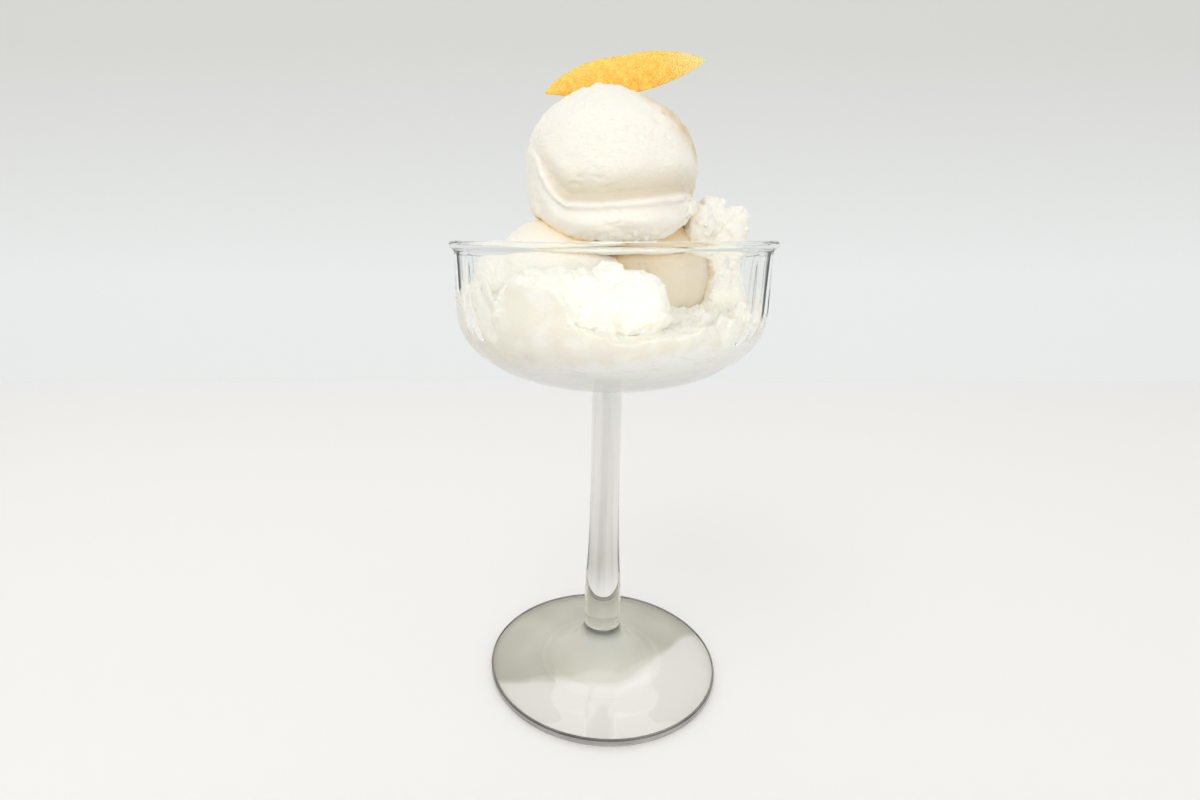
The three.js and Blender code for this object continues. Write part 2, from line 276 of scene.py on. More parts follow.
def new_material(name):
    material = bpy.data.materials.new(name)
    material.use_nodes = True
    material.node_tree.nodes.clear()
    return material, Wire(material.node_tree)


def mixed(net, amount, low, high):
    """Colour low where the amount is 0, and high where it is 1."""
    return net.node("ShaderNodeMix", {"data_type": "RGBA"}, {0: amount, 6: low, 7: high}, out=2)


def noise(net, where, scale, detail=2.0, roughness=0.5):
    sockets = {"Vector": where, "Scale": scale, "Detail": detail, "Roughness": roughness}
    return net.node("ShaderNodeTexNoise", {}, sockets)


def abs_of(amount):
    return amount.sum("ABSOLUTE", amount)


def painted(net, name):
    return net.node("ShaderNodeAttribute", {"attribute_name": name}, out=2)


def finish_with(net, material, sockets):
    """Ends a net in a Principled shader with these sockets."""
    shader = net.node("ShaderNodeBsdfPrincipled", {}, sockets)
    net.node("ShaderNodeOutputMaterial", {}, {"Surface": shader})
    return material


# %% [markdown]
# ## The glass
#
# The coupe is pressed in one piece: a foot, a solid stem, and a bowl whose outside has 24 upright
# flat panels. It is a lathed profile, so a profile and a turn make it. The solid model's coupe has
# 48 facets round, which is enough to stand and to hold, but a lens shows each facet. This one
# follows that profile closely with far more points, and the creases between its panels get the
# small rounding that pressing and fire-polishing leave. The panels fade out below the rim's bead.

# %% The glass's dimensions
GLASS_HEIGHT = 160
RIM_RADIUS = 52.5
BEAD_RADIUS = 1.2
WALL = 2
BOWL_RADIUS = RIM_RADIUS - 1.1
SHOULDER_Z = 141
BOWL_OUTSIDE_Z = 112.2
BOWL_INSIDE_Z = 117.3
ROUNDNESS = 2.3
PANELS = 24
PANEL_CREASE = 2.5
CREASE_ROUNDING = 0.45
FOOT_RADIUS = 42.9
FOOT_EDGE = 2.5
EDGE_ROUNDING = 0.45
INSIDE_RADIUS = BOWL_RADIUS - WALL


# %% The glass's profile
def through(points, steps):
    """A smooth curve through points: the uniform Catmull-Rom curve that the solid model uses."""
    p = np.array([points[0], *points, points[-1]], float)
    curve = []
    for i in range(1, len(p) - 2):
        for t in np.linspace(0, 1, steps, endpoint=False):
            before, here, there, after = p[i - 1 : i + 3]
            v0, v1 = (there - before) / 2, (after - here) / 2
            curve.append(
                (2 * here - 2 * there + v0 + v1) * t**3
                + (-3 * here + 3 * there - 2 * v0 - v1) * t**2
                + v0 * t
                + here
            )
    return [*curve, p[-1]]


def quarter(radius, bottom, steps):
    turn = np.linspace(0, math.pi / 2, steps)
    r = radius * np.sin(turn) ** (2 / ROUNDNESS)
    z = SHOULDER_Z - (SHOULDER_Z - bottom) * np.abs(np.cos(turn)) ** (2 / ROUNDNESS)
    return np.stack([r, z], 1)


def arc(centre, radius, start, end, steps):
    turn = np.radians(np.linspace(start, end, steps))
    return np.stack([centre[0] + radius * np.cos(turn), centre[1] + radius * np.sin(turn)], 1)


underside = [(0, 0.9), (12, 0.84), (23.1, 0.63), (31.5, 0.06), (33, 0), (FOOT_RADIUS - 1.4, 0)]
rise = [(FOOT_RADIUS - 0.8, FOOT_EDGE), (30, 3), (19, 4.3), (13.2, 7.4), (9.2, 12.2), (7.1, 16.2)]
collar = [(6.8, 17.1), (6.66, 18.0), (6.6, 18.4), (6.66, 18.8), (6.64, 19.8)]
stem = [(6.7, 21.5), (6.85, 28), (6.5, 36), (5.9, 46), (5.4, 58), (5.15, 76), (5.2, 95), (5.35, 108.5)]
stem.append((6.3, 111.6))
outside = quarter(BOWL_RADIUS, BOWL_OUTSIDE_Z, 64)
inside = quarter(INSIDE_RADIUS, BOWL_INSIDE_Z, 56)[::-1]
profile = np.array(
    [
        *underside,
        *arc((FOOT_RADIUS - EDGE_ROUNDING, EDGE_ROUNDING), EDGE_ROUNDING, -70, 0, 5),
        *arc((FOOT_RADIUS - EDGE_ROUNDING, FOOT_EDGE - EDGE_ROUNDING), EDGE_ROUNDING, 0, 75, 5),
        *through(rise, 7),
        *collar,
        *through(stem, 7),
        *outside[outside[:, 0] > 6.6],
        *[(BOWL_RADIUS, z) for z in (144, 147, 150, 153, 155.5, 157)],
        *arc((RIM_RADIUS - BEAD_RADIUS, GLASS_HEIGHT - BEAD_RADIUS), BEAD_RADIUS, -60, 205, 18),
        *[(INSIDE_RADIUS + 0.05 * (z - SHOULDER_Z), z) for z in (156.6, 154, 150, 146)],
        *inside,
    ]
)
print("profile", len(profile), "points")


# %% Turning it, and pressing the panels
PANELS_FROM = (114, 122)
PANELS_TO = (156.5, 157.9)


def turn_glass():
    """The profile turned about the glass's axis, drawn in between the creases of its panels."""
    step = 360 / PANELS
    spread = np.array([0, 0.3, 0.7, 1.3, 2.4, 4.6, 7.5, 10.4, 12.6, 13.7, 14.3, 14.7])
    turns = (np.arange(PANELS)[:, None] * step + spread).ravel()
    count = len(turns)
    from_crease = np.minimum(spread, step - spread)
    rounded = np.sqrt(from_crease**2 + CREASE_ROUNDING**2)
    flat = np.cos(math.radians(step / 2)) / np.cos(np.radians(step / 2 - rounded))
    flat = np.tile(np.minimum(flat, 1), PANELS)
    angle = np.radians(turns + PANEL_CREASE)
    rim_row = int(np.argmax(profile[:, 1]))
    vertices = [(0, 0, profile[0][1])]
    for row, (r, z) in enumerate(profile[1:-1], 1):
        band = smoothstep(z, *PANELS_FROM) * (1 - smoothstep(z, *PANELS_TO)) if row < rim_row else 0
        reach = r * (1 + (flat - 1) * band)
        vertices.extend(zip(reach * np.sin(angle), -reach * np.cos(angle), [z] * count))
    vertices.append((0, 0, profile[-1][1]))
    around = np.arange(count)
    beside = (around + 1) % count
    faces = [(0, 1 + b, 1 + a) for a, b in zip(around, beside)]
    rows = len(profile) - 2
    for row in range(rows - 1):
        low, high = 1 + row * count, 1 + (row + 1) * count
        faces.extend(zip(low + around, low + beside, high + beside, high + around))
    last = 1 + (rows - 1) * count
    faces.extend((last + a, last + b, last + count) for a, b in zip(around, beside))
    return np.array(vertices), [tuple(int(i) for i in face) for face in faces]


coupe = make_piece("coupe_clear", *turn_glass())

# %% [markdown]
# Glass is a Principled shader with full transmission, and half of it at the foot's edge. What
# makes it look like real pressed glass is that it isn't perfect: a faint long swell in its surface
# bends what is seen through it, and its tint isn't quite even. The stem is tinted greyer, in upright
# streaks. A path tracer can't find a small lamp through a lens, so lamp light would be lost behind
# glass. For rays that go to a lamp, each surface is therefore a plain filter, weak in the bowl and
# strong in the foot, which throws light sideways.
#
# In an all-white room a thin wall of glass turns too dark, because it traps what enters it at a
# slant. Real glass bends light by 1.5, but the bowl is given 1.3, which traps less. The rise
# between foot and stem bends by 1.25 and is a little dull, because a sharp rise would show a small
# upside-down picture of the whole glass. The foot has painted shadow, the bowl's shadow seen
# through it: a greyer tint behind a wavy line, and clear in front of it. The foot's edge is dull,
# with painted shade: it is darker, with a dark thin line along each of its two rounded corners.

# %% Clear pressed glass
def streaked(net, where, stretch, deep, pale):
    """Tint that wanders between two colours; a stretch drawn out along one axis gives streaks."""
    drawn = net.node("ShaderNodeMapping", {}, {"Vector": where, "Scale": stretch})
    return mixed(net, ((noise(net, drawn, 1.0) - 0.35) * 3.3).limited(), (*deep, 1), (*pale, 1))


def pressed_glass(name, tinted, passes, bends, dull=0.0, clearness=1.0):
    material, net = new_material(name)
    where = net.node("ShaderNodeTexCoord", {}, {}, out=3)
    swell = noise(net, where, 75.0, 1.0)
    wavy = net.node("ShaderNodeBump", {}, {"Strength": 0.05, "Distance": 0.001, "Height": swell})
    look = {"Base Color": tinted(net, where), "Roughness": dull, "IOR": bends, "Normal": wavy}
    look["Transmission Weight"] = clearness
    clear = net.node("ShaderNodeBsdfPrincipled", {}, look)
    lamp_ray = net.node("ShaderNodeLightPath", {}, {}, out=1)
    filtered = net.node("ShaderNodeBsdfTransparent", {}, {"Color": (*passes, 1)})
    surface = net.node("ShaderNodeMixShader", {}, {0: lamp_ray, 1: clear, 2: filtered})
    net.node("ShaderNodeOutputMaterial", {}, {"Surface": surface})
    return material


def bowl_tint(net, where):
    return streaked(net, where, (30.0, 30.0, 30.0), (0.97, 0.98, 0.97), (0.995, 1.0, 0.995))


def stem_tint(net, where):
    """Upright streaks, which fade where the stem thickens towards the foot."""
    streaks = streaked(net, where, (330.0, 330.0, 9.0), (0.60, 0.59, 0.57), (0.88, 0.87, 0.855))
    z = net.node("ShaderNodeSeparateXYZ", {}, {"Vector": where}, out=2)
    return mixed(net, ((z - 0.030) * 100.0).limited(), (0.97, 0.97, 0.95, 1), streaks)


# Where the painted shadow on the foot begins, and where its line starts to slant back, in metres.
FOOT_LINE = -0.0145
SLANT_FROM = 0.006
LINE_SHARPNESS = 500.0


def foot_tint_with_painted_shadow(net, where):
    """Clear at the front, and greyer behind a wavy line: painted shadow of the bowl."""
    shade = streaked(net, where, (40.0, 40.0, 40.0), (0.74, 0.74, 0.68), (0.84, 0.835, 0.78))
    x = net.node("ShaderNodeSeparateXYZ", {}, {"Vector": where}, out=0)
    y = net.node("ShaderNodeSeparateXYZ", {}, {"Vector": where}, out=1)
    wave = (noise(net, where, 60.0) - 0.5) * 0.006
    slant = (x - SLANT_FROM).limited(0.0, 0.03) * 0.9
    line = y - FOOT_LINE - slant + wave
    return mixed(net, (line * LINE_SHARPNESS + 0.5).limited(), (1.0, 1.0, 0.985, 1), shade)


# Painted shade: the foot's edge is tinted a darker grey.
def edge_painted_shade(net, where):
    return streaked(net, where, (60.0, 60.0, 60.0), (0.50, 0.48, 0.47), (0.72, 0.69, 0.68))


# Painted shade: a dark thin line along each rounded corner of the foot's edge.
def line_painted_shade(net, where):
    return streaked(net, where, (60.0, 60.0, 60.0), (0.10, 0.09, 0.085), (0.27, 0.25, 0.24))


# Heights and radii in millimetres that part the foot, its rise and its edge.
FOOT_TOP = 18
FLAT_FROM = 21
EDGE_WIDTH = 0.7
# Each glass: its tint, its filter for lamp light, its bending index, dullness and clearness.
GLASSES = {
    "bowl": pressed_glass("glass_bowl", bowl_tint, (0.985, 0.99, 0.985), 1.3),
    "stem": pressed_glass("glass_stem", stem_tint, (0.8, 0.8, 0.78), 1.5),
    # The rise and the foot carry the painted shadow behind the wavy line; the edge and its corner
    # lines carry painted shade.
    "rise": pressed_glass("glass_rise_painted_shadow", foot_tint_with_painted_shadow, (0.85, 0.85, 0.83), 1.25, 0.3),
    "foot": pressed_glass("glass_foot_painted_shadow", foot_tint_with_painted_shadow, (0.8, 0.8, 0.78), 1.5),
    "edge": pressed_glass("glass_edge_painted_shade", edge_painted_shade, (0.5, 0.48, 0.47), 1.5, 0.2, 0.5),
    "line": pressed_glass("glass_line_painted_shade", line_painted_shade, (0.4, 0.38, 0.36), 1.5, 0.2, 0.5),
}
for material in GLASSES.values():
    coupe.data.materials.append(material)


def glass_of(r, z):
    """Which of the glasses above a face belongs to, by its middle."""
    if r > FOOT_RADIUS - EDGE_WIDTH and z < FOOT_EDGE:
        return "edge" if EDGE_ROUNDING < z < FOOT_EDGE - EDGE_ROUNDING else "line"
    if z < FOOT_TOP:
        return "foot" if r > FLAT_FROM else "rise"
    return "stem" if z < BOWL_OUTSIDE_Z else "bowl"


for face in coupe.data.polygons:
    x, y, z = face.center / MM
    face.material_index = list(GLASSES).index(glass_of(math.hypot(x, y), z))
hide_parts("coupe")
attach(coupe, "root")


# %% [markdown]
# ## The room in the bowl
#
# Frozen sorbet doesn't fill a glass as a drink does. Where a piece was pressed against the glass it
# is wet, and the glass shows it smooth and a little grey. Where it is torn it stands off, and there
# it is bright: at the front, and in a stretch to the left and to the right of it. Two surfaces
# can't lie exactly on each other in a render, so sorbet that touches reaches a hair into the wall,
# and no film of air shows.

# %% How far a point is from the bowl's inner surface
def past_wall(p):
    """Distance outside the bowl's inner surface, negative in the room inside."""
    r = np.hypot(p[:, 0], p[:, 1])
    upright = r - (INSIDE_RADIUS + 0.05 * np.maximum(p[:, 2] - SHOULDER_Z, 0))
    depth = SHOULDER_Z - BOWL_INSIDE_Z
    a = np.maximum(r, 1e-6) / INSIDE_RADIUS
    b = np.maximum(SHOULDER_Z - p[:, 2], 1e-6) / depth
    s = (a**ROUNDNESS + b**ROUNDNESS) ** (1 / ROUNDNESS)
    steep = s ** (1 - ROUNDNESS) * np.hypot(
        a ** (ROUNDNESS - 1) / INSIDE_RADIUS, b ** (ROUNDNESS - 1) / depth
    )
    return np.where(p[:, 2] > SHOULDER_Z, upright, (s - 1) / np.maximum(steep, 1e-6))


# %% Where the sorbet touches the glass
TOUCH = 0.12
TORN_DEPTH = 8.0


def off_contact(p):
    """Distance outside the patch where sorbet is pressed to the glass, negative inside it."""
    azimuth = azimuth_of(p)
    aside = np.abs(azimuth)
    ragged = 0.9 * ripple(p, 8, 2.7) + 0.5 * grain(p, 2.5, 8)
    pressed = 12.8 * smoothstep(azimuth, -42, -38) * (1 - smoothstep(azimuth, -21, -7))
    torn_front = 4.0 * bell(azimuth, 0, 11)
    wander = azimuth + 3.5 * ripple(p, 9, 6.2)
    torn_right = TORN_DEPTH * smoothstep(wander, 24, 38) * (1 - smoothstep(wander, 55, 69))
    torn_left = TORN_DEPTH * smoothstep(-wander, 41, 51) * (1 - smoothstep(-wander, 57, 70))
    filled = 4.5 * smoothstep(aside, 62, 70) * (1 - smoothstep(aside, 120, 135))
    top = 139.8 + pressed + filled - torn_front - torn_right - torn_left
    return p[:, 2] - top - (0.3 + 0.7 * (aside > 60)) * ragged


def stand_off(p):
    """How far the sorbet stays from the glass: it curves away from the edge of the wet patch."""
    away = off_contact(p)
    azimuth = azimuth_of(p)
    crisp = smoothstep(azimuth, -47, -42) * (1 - smoothstep(azimuth, -14, -5))
    crisp = crisp * smoothstep(p[:, 2], 139, 143)
    gap = 1.5 + 0.7 * ripple(p, 11, 3.1)
    return np.where(away < 0, -TOUCH, np.minimum(0.1 + (0.5 + 2.5 * crisp) * away, gap))


# %% [markdown]
# ## The scoops
#
# A scoop from a round disher is a dome with a fold round its lower part, where the sorbet was
# pressed over the disher's edge, and a skirt below the fold. The other scoops are balls that have
# sunk into the bed, so a lump, a ball stretched three ways and made uneven, describes them and the
# broken pieces too.

# %% A lump
def lump(p, centre, radii, rough, size, seed, square=2):
    """An uneven ball, which becomes blocky with square above 2."""
    q = p - centre
    far = np.linalg.norm(q, axis=1) + 1e-9
    direction = q / far[:, None]
    reach = np.sum(np.abs(direction / radii) ** square, axis=1) ** (-1 / square)
    bump = rough * sum(radii) / 3
    return far - reach - bump * ripple(direction * reach[:, None], size, seed)


def lumps(p, several):
    return np.min([lump(p, *one) for one in several], axis=0)


# Each lump: its middle, its radii, how uneven it is, the size and seed of that, and how square.
SCOOP_LEFT = [
    ((-18, -1, 141), (24, 25.5, 26.4), 0.012, 30, 2.2),
    ((-34, -3, 146.5), (12.4, 15, 11.4), 0.04, 14, 5.7),
    ((-34.5, -8, 137.5), (15.5, 17, 12.5), 0.06, 9, 4.9),
]
SCOOP_RIGHT = [((13.5, 10, 146), (21, 20.5, 25.2), 0.012, 30, 3.4)]
CHUNK_FRONT = [
    ((-20.5, -35, 140.5), (13.6, 13, 12.4), 0.05, 13, 1.9),
    ((3.4, -35.4, 141.5), (10.6, 9.8, 10.4), 0.09, 8, 7.3),
    ((-4, -33.6, 147.6), (6.2, 6.4, 6.6), 0.08, 7, 6.1),
    ((-8.5, -36.5, 141.5), (8.5, 8.5, 9.5), 0.1, 8, 3.3),
    ((-13.5, -37.5, 147.5), (7.5, 6, 5), 0.12, 7, 8.8),
]
CHUNK_RIGHT = [
    ((38.2, 8, 138), (10.4, 15, 13), 0.09, 10, 8.2),
    ((37.2, 8.5, 154), (7.6, 9, 10), 0.08, 8, 2.9),
    ((34.5, 9.5, 165), (4.5, 6, 8.8), 0.05, 9, 4.4, 4),
    ((41.2, 9, 163.3), (5.3, 6.5, 7.2), 0.06, 9, 9.1, 4),
    ((31.6, 7, 158.5), (4.0, 5, 4.6), 0.08, 7, 1.7, 3),
    ((28.5, 1, 164.5), (4.8, 5.5, 7), 0.1, 6, 5.5),
]

# %% [markdown]
# The top scoop's profile changes round its azimuth: the fold lies low at the front and climbs on
# the left, where the sorbet was dragged up. The profile is worked out every two degrees round, and
# kept as a table of radius by azimuth and elevation that the field looks up.

# %% The top scoop's profile
TOP_CENTRE = np.array([-0.3, 0, 181.4])
TOP_RADIUS = 27
DOME_HEIGHT = 24.4
TOP_LEAN = 0.07


def climb(azimuth):
    return smoothstep(-azimuth, 32, 70) * (1 - smoothstep(-azimuth, 105, 165))


def fold_at(azimuth):
    """The elevation of the fold in degrees, as seen from the scoop's centre."""
    aside = 6 * bell(azimuth, 65, 35) + 2.5 * bell(azimuth, -35, 18)
    return -23.2 + 34 * climb(azimuth) + aside + 1.5 * np.sin(np.radians(3 * azimuth))


def top_profile(azimuth):
    """Radius and height of the scoop's surface at an azimuth, from the crown to the base."""
    up = climb(azimuth)
    fold = fold_at(azimuth)
    torn_off = smoothstep(azimuth, 46, 66) * (1 - smoothstep(azimuth, 110, 150))
    lip = (1.9 - 1.6 * up) * (1 - 0.85 * torn_off)
    side = smoothstep(abs(azimuth), 35, 85)
    edge = np.array([18.6 + 5 * side, -21.6 + 7.4 * side])

    def dome(elevation, out):
        e = np.radians(elevation)
        out = out - 1.9 * bell(azimuth, 90, 50) * bell(elevation, 66, 18)
        return np.stack([(TOP_RADIUS + out) * np.cos(e), (DOME_HEIGHT + out) * np.sin(e)], -1)

    # From the crown down the dome, which dips into a groove just above the fold.
    s = np.linspace(0, 1, 150)[:-1]
    rows = 14 * s
    groove = (1.5 - 1.2 * up) * (1 - 0.8 * torn_off)
    above = dome(90 + (fold + 1 - 90) * s, -groove * smoothstep(rows, 11.6, 14))
    # Out of the groove and over the lip of the fold.
    s = np.linspace(0, 1, 20)[:-1]
    over = dome(fold + 1 - 2.5 * s, -groove + (groove + lip) * np.sin(s * math.pi / 2))
    # The skirt, a curve from the lip to its lower edge, with a shallow dip below the lip.
    start = dome(fold - 1.5, lip)
    s = np.linspace(0, 1, 80)[:-1, None]
    one = np.array([TOP_RADIUS + 0.9 - 1.1 * up, start[1] + (edge[1] - start[1]) * 0.35])
    two = np.array([TOP_RADIUS - 1 + 1.6 * side, start[1] + (edge[1] - start[1]) * 0.9])
    below = (1 - s) ** 3 * start + 3 * (1 - s) ** 2 * s * one + 3 * (1 - s) * s * s * two + s**3 * edge
    below = below * (1 - 0.065 * (1 - up) * (1 - torn_off) * np.exp(-(((s - 0.24) / 0.11) ** 2)))
    # Under the scoop, back to its axis.
    s = np.linspace(0, 1, 40)
    base = np.stack([edge[0] * (1 - s), edge[1] + (-20.2 - edge[1]) * smoothstep(s, 0, 0.5)], -1)
    return np.concatenate([above, over, below, base])


table_azimuths = np.arange(-180, 181, 2)
table_elevations = np.linspace(-90, 90, 361)
top_table = []
for azimuth in table_azimuths:
    curve = top_profile(float(azimuth))
    elevation = np.degrees(np.arctan2(curve[:, 1], curve[:, 0]))
    order = np.argsort(elevation)
    top_table.append(np.interp(table_elevations, elevation[order], np.hypot(*curve.T)[order]))
top_table = np.array(top_table)
print("top scoop reaches", top_table.min().round(1), "to", top_table.max().round(1), "mm")


# %% The top scoop's field
# Each dent: azimuth and elevation in degrees, size and depth in millimetres; below 0 it is a bump.
DENTS = [
    (31, 27, 2.6, 0.9),
    (4, 13, 1.6, 0.3),
    (-38, -1, 2.2, -0.35),
    (-30, -8, 1.8, -0.3),
    (52, 30, 2.4, 0.5),
]


def top_scoop(p):
    q = p - TOP_CENTRE
    q[:, 0] += TOP_LEAN * np.maximum(q[:, 2], 0)
    far = np.linalg.norm(q, axis=1) + 1e-9
    a = (azimuth_of(q) + 180) / 2
    e = (np.degrees(np.arcsin(np.clip(q[:, 2] / far, -1, 1))) + 90) * 2
    i, j = np.minimum(a.astype(int), 179), np.minimum(e.astype(int), 359)
    u, v = a - i, e - j
    reach = (top_table[i, j] * (1 - v) + top_table[i, j + 1] * v) * (1 - u)
    reach = reach + (top_table[i + 1, j] * (1 - v) + top_table[i + 1, j + 1] * v) * u
    on = q * (reach / far)[:, None]
    low = 1 - smoothstep(e / 2 - 90, -30, -16)
    field = far - reach - 0.28 * ripple(on, 21, 1.3) - low * 0.5 * ripple(on, 9.5, 4.1)
    for azimuth, elevation, size, depth in DENTS:
        turn, rise = math.radians(azimuth), math.radians(elevation)
        level = math.cos(rise)
        there = np.array([math.sin(turn) * level, -math.cos(turn) * level, math.sin(rise)])
        away = np.linalg.norm(q - there * far[:, None], axis=1) / size
        field += depth * np.exp(-(away**2)) * (1 - 0.9 * away**2)
    return field


# %% The bed's field
def bed(p):
    """A level filling that rises at the wall, with a craggy heap at its left and right."""
    r = np.hypot(p[:, 0], p[:, 1])
    azimuth = azimuth_of(p)
    flat = p * (1, 1, 0)
    rise_at_wall = 1.6 + 3 * bell(azimuth, -65, 28) + 1.5 * bell(azimuth, 160, 50)
    rise_at_wall = rise_at_wall - 5 * bell(azimuth, 0, 17)
    level = 138.5 + smoothstep(r, 30, 48) * rise_at_wall + ripple(flat, 17, 5.2)
    right = smoothstep(azimuth, 26, 34) * (1 - smoothstep(azimuth, 80, 110)) * smoothstep(r, 26, 36)
    left = smoothstep(-azimuth, 41, 50) * (1 - smoothstep(-azimuth, 78, 100)) * smoothstep(r, 30, 42)
    rugged = (right + left > 0) & (p[:, 2] > 132)
    crags = np.zeros(len(p))
    crags[rugged] = torn(flat[rugged], 7, 11)
    scooped_out = 2.5 * bell(azimuth, 19, 12)
    return p[:, 2] - level + scooped_out - right * (4.5 * crags - 2.5) - left * (4 * crags + 3.5)


# %% [markdown]
# ## From fields to pieces
#
# Each piece is its own field, less its neighbours', roughened by its own kind of noise and, all but
# the top scoop, kept inside the room in the bowl. A scooped face is finely pitted, and a torn face
# is full of rounded crumbs with sharp valleys. Noise is costly, so it is only worked out near the
# surface. Neighbours overlap a little, so that no slit shows between them. Where two of them touch
# the glass they would share one surface, so neighbours have different small insets, and the bed,
# which has none, reaches furthest.

# %% Cutting and roughening
CELL = 0.45
FINE_CELL = 0.4
BROAD_CELL = 0.57
OVERLAP = 0.5
INSET = 0.03


def sorbet_field(shape, rough, neighbours=(), room=None, inset=0.0):
    def field(p):
        value = shape(p)
        kept = np.flatnonzero(value < 3)
        q, v = p[kept], value[kept]
        near = v > -3
        v[near] -= rough(q[near])
        for other in neighbours:
            v = np.maximum(v, -OVERLAP - other(q))
        if room is not None:
            wall = past_wall(q)
            close = (wall > -4) & (v < 1)
            at = q[close]
            gap = room(at)
            tear = 0.6 * rough(at) * smoothstep(gap, 0.2, 1.4)
            v[close] = np.maximum(v[close], wall[close] + gap + inset - tear)
        value[kept] = v
        return value

    return field


def scooped(p):
    """A disher's face: nearly smooth, with pits drawn out sideways."""
    drawn = p * (0.55, 0.55, 1.3)
    pits = np.maximum(grain(drawn, 1.0, 1) - 0.15, 0) + np.maximum(grain(drawn, 1.9, 9) - 0.25, 0)
    pitted = smoothstep(grain(p, 14, 6), -0.5, 0.4)
    return 0.2 * grain(drawn, 2.9, 2) + 0.2 * grain(p, 7, 3) - 0.8 * pits * pitted


def skirted(p):
    """The top scoop: scooped on its dome, and torn round its crown and towards the skirt's edge."""
    q = p - TOP_CENTRE
    azimuth = azimuth_of(q)
    elevation = np.degrees(np.arctan2(q[:, 2], np.hypot(q[:, 0], q[:, 1])))
    right = smoothstep(azimuth, 46, 60) * (1 - smoothstep(azimuth, 110, 140))
    tear = (1 - smoothstep(elevation, -44, -33)) + right * (1 - smoothstep(elevation, -15, -5))
    tear += smoothstep(elevation, 60, 70) + 0.8 * bell(azimuth, 42, 16) * bell(elevation, 38, 8)
    tear = np.clip(tear, 0, 1)
    value = scooped(p)
    loose = tear > 0.01
    value[loose] += tear[loose] * (0.8 * torn(p[loose], 3.6, 4) + 0.45 * torn(p[loose], 1.7, 5))
    return value


def crumbly(p):
    """A torn face: lumps with crumbs on them, and crumbs on those."""
    return 0.9 * torn(p, 6.0, 4) + 0.55 * torn(p, 2.7, 5) + 0.25 * torn(p, 1.4, 6)


def slumped(p):
    """The left scoop: scooped above, and torn to crumbs at its foot by the glass."""
    tear = (1 - smoothstep(p[:, 2], 146, 152)) * smoothstep(-p[:, 0], 25, 34)
    value = scooped(p)
    loose = tear > 0
    value[loose] += tear[loose] * crumbly(p[loose])
    return value


left_shape = partial(lumps, several=SCOOP_LEFT)
right_shape = partial(lumps, several=SCOOP_RIGHT)
front_shape = partial(lumps, several=CHUNK_FRONT)
side_shape = partial(lumps, several=CHUNK_RIGHT)

# %% Making them
def sorbet_piece(name, node, field, cell, margin):
    low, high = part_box(node)
    low = [v / MM - margin for v in low]
    high = [v / MM + margin for v in high]
    vertices, faces = surface_of(field, low, high, cell)
    piece = make_piece(name, vertices, faces)
    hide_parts(node)
    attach(piece, "root")
    return piece, vertices


SCOOPS = [top_scoop, left_shape, right_shape]
FIELDS = {
    "top": sorbet_field(top_scoop, skirted),
    "left": sorbet_field(left_shape, slumped, SCOOPS[:1], stand_off, 2 * INSET),
    "right": sorbet_field(right_shape, scooped, SCOOPS[:2], stand_off, 3 * INSET),
    "front": sorbet_field(front_shape, crumbly, SCOOPS, stand_off, INSET),
    "side": sorbet_field(side_shape, crumbly, SCOOPS, stand_off, INSET),
    "bed": sorbet_field(bed, crumbly, SCOOPS[1:], stand_off),
}
# Each piece: its name, the node it stands for, its grid's cell, and the grid's margin round the node.
PIECES = {
    "top": ("sorbet_top", "scoop_top", FINE_CELL, 3),
    "left": ("sorbet_left", "scoop_left", CELL, 4),
    "right": ("sorbet_right", "scoop_right", CELL, 3),
    "front": ("sorbet_front", "chunk_front", CELL, 4),
    "side": ("sorbet_side", "chunk_right", CELL, 7),
    "bed": ("sorbet_pressed", "sorbet_bed", BROAD_CELL, 7),
}
sorbets = {}
for key, (name, node, cell, margin) in PIECES.items():
    sorbets[key] = sorbet_piece(name, node, FIELDS[key], cell, margin)

# %% [markdown]
# Light that sinks into white ice comes out warmer, most of all in the cracks between scoops, and
# this is painted into the colour as warm shade, so each vertex keeps how close it is to a
# neighbouring scoop. The right scoop, deep in the pile and under the top scoop, gets painted shade
# all over, a darker warm tan, and so does the groove above the top scoop's fold. The top scoop also
# has painted shade on its right shoulder, a row of round spots that run together. A vertex also
# keeps whether it touches the glass, where the sorbet is wet and smooth, whether it lies low in the
# bowl, where it gets a painted reflection of the glass's thick bottom, grey and streaky, and how
# pitted the face is round it.

# %% Painted shade, wet faces and the painted reflection at the bottom
# How much of the darker warm tan each piece gets all over: syrup tint, and on the right scoop painted
# shade.
SYRUP_AND_SHADE_AMOUNT = {"top": 0.1, "left": 0.05, "right": 0.6, "front": 0.02, "side": 0.04, "bed": 0.08}
# How strong the painted warm shade in the cracks between scoops is on each piece.
CRACK_SHADE_STRENGTH = {"top": 0.75, "left": 0.7, "right": 0.8, "front": 0.2, "side": 0.6, "bed": 0.1}
# Each spot of the painted shade on the top scoop's right shoulder: its place and its radius.
SHOULDER_SHADE_SPOTS = [
    (5, -4, 206.5, 3.5),
    (12, -12, 203, 5),
    (17.5, -13, 199, 5.5),
    (22, -13, 193.5, 5.5),
    (25, -10, 187.5, 4),
]
# How high the painted reflection of the glass's thick bottom reaches at each azimuth.
REFLECTION_EDGE = [(-180, 128), (-60, 126.5), (-22, 127.1), (-8, 128.2), (6, 129.4), (19, 130.7)]
REFLECTION_EDGE += [(30, 133), (60, 132), (100, 129), (180, 128)]


def to_neighbour(key, p):
    """How far each point is from the nearest other scoop, for the painted shade between scoops alone.
    """
    others = [scoop(p) for name, scoop in zip(("top", "left", "right"), SCOOPS) if name != key]
    return np.maximum(np.min(others, axis=0), 0)


def shoulder_shade(p):
    """1 in the middle of a spot of the painted shoulder shade, fading to none a little outside it."""
    spots = [np.exp(-np.sum((p - spot[:3]) ** 2, axis=1) / spot[3] ** 2) for spot in SHOULDER_SHADE_SPOTS]
    return np.max(spots, axis=0)


